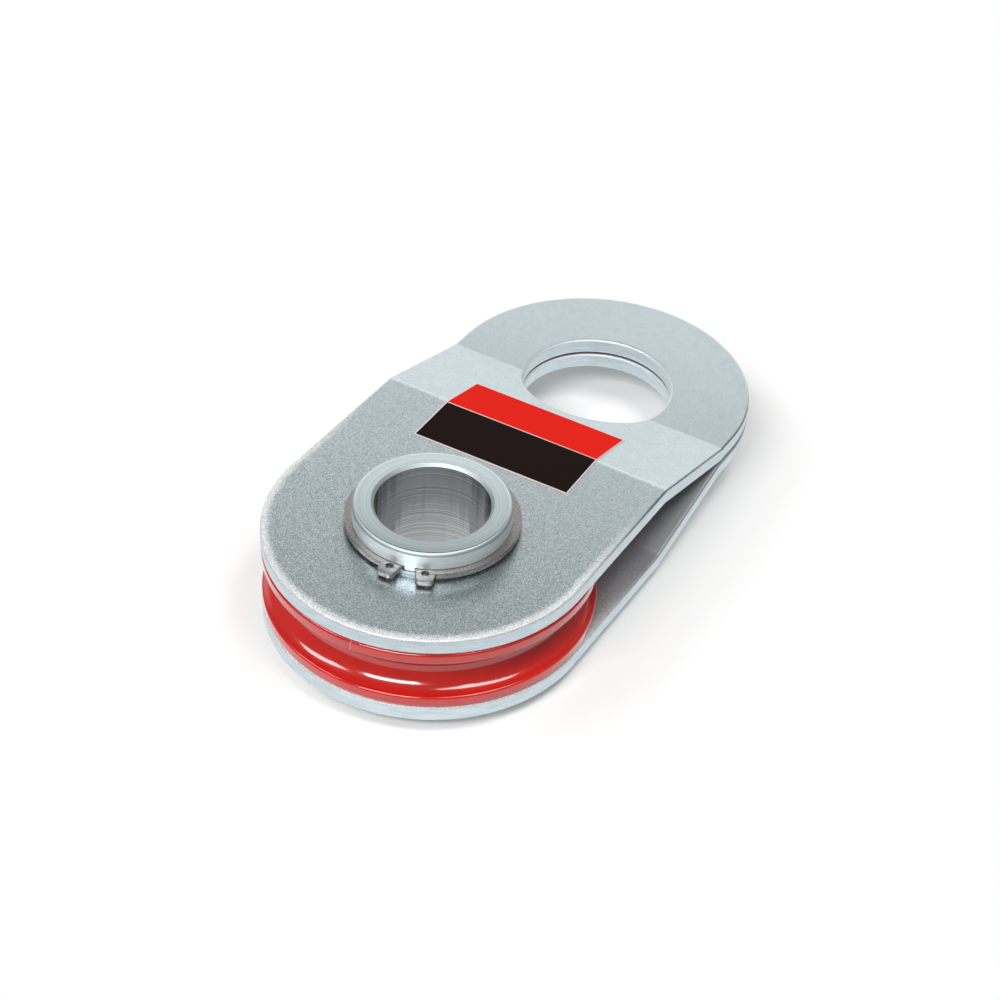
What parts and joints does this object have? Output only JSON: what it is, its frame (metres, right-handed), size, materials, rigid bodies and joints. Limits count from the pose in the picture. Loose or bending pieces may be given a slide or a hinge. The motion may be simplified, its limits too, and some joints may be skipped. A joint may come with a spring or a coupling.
{
  "type": "snatch block",
  "caption": "Snatch block with swinging steel cheek plates round a grooved rope sheave, an open eye for a shackle and a hollow, headed axle.",
  "frame": {"origin": "foot of the axle's head on the axle's centre line, where the block rests", "axes": "+Z along the axle towards the retaining ring, +Y from the axle towards the eye"},
  "size_m": [0.117, 0.2345, 0.0511],
  "materials": {
    "zinc_plate": "grainy matt zinc plating",
    "red_enamel": "gloss enamel",
    "bronze": "turned",
    "turned_steel": "turned and zinc plated",
    "spring_steel": "pressed and zinc plated",
    "label_film": "printed film in two plain fields"
  },
  "bodies": {
    "axle": {"axle_sleeve": "turned_steel", "circlip": "spring_steel"},
    "rear_cheek": {"rear_cheek_plate": "zinc_plate"},
    "sheave": {"sheave": "red_enamel", "sheave_bush": "bronze"},
    "front_cheek": {"front_cheek_plate": "zinc_plate", "label": "label_film"}
  },
  "joints": [
    {"name": "rear_cheek_swing", "type": "hinge", "parent": "axle", "child": "rear_cheek", "pos_m": [0, 0, 0], "axis": [0, 0, 1], "continuous": true},
    {"name": "sheave_spin", "type": "hinge", "parent": "axle", "child": "sheave", "pos_m": [0, 0, 0], "axis": [0, 0, 1], "continuous": true},
    {"name": "front_cheek_swing", "type": "hinge", "parent": "axle", "child": "front_cheek", "pos_m": [0, 0, 0], "axis": [0, 0, 1], "continuous": true}
  ]
}
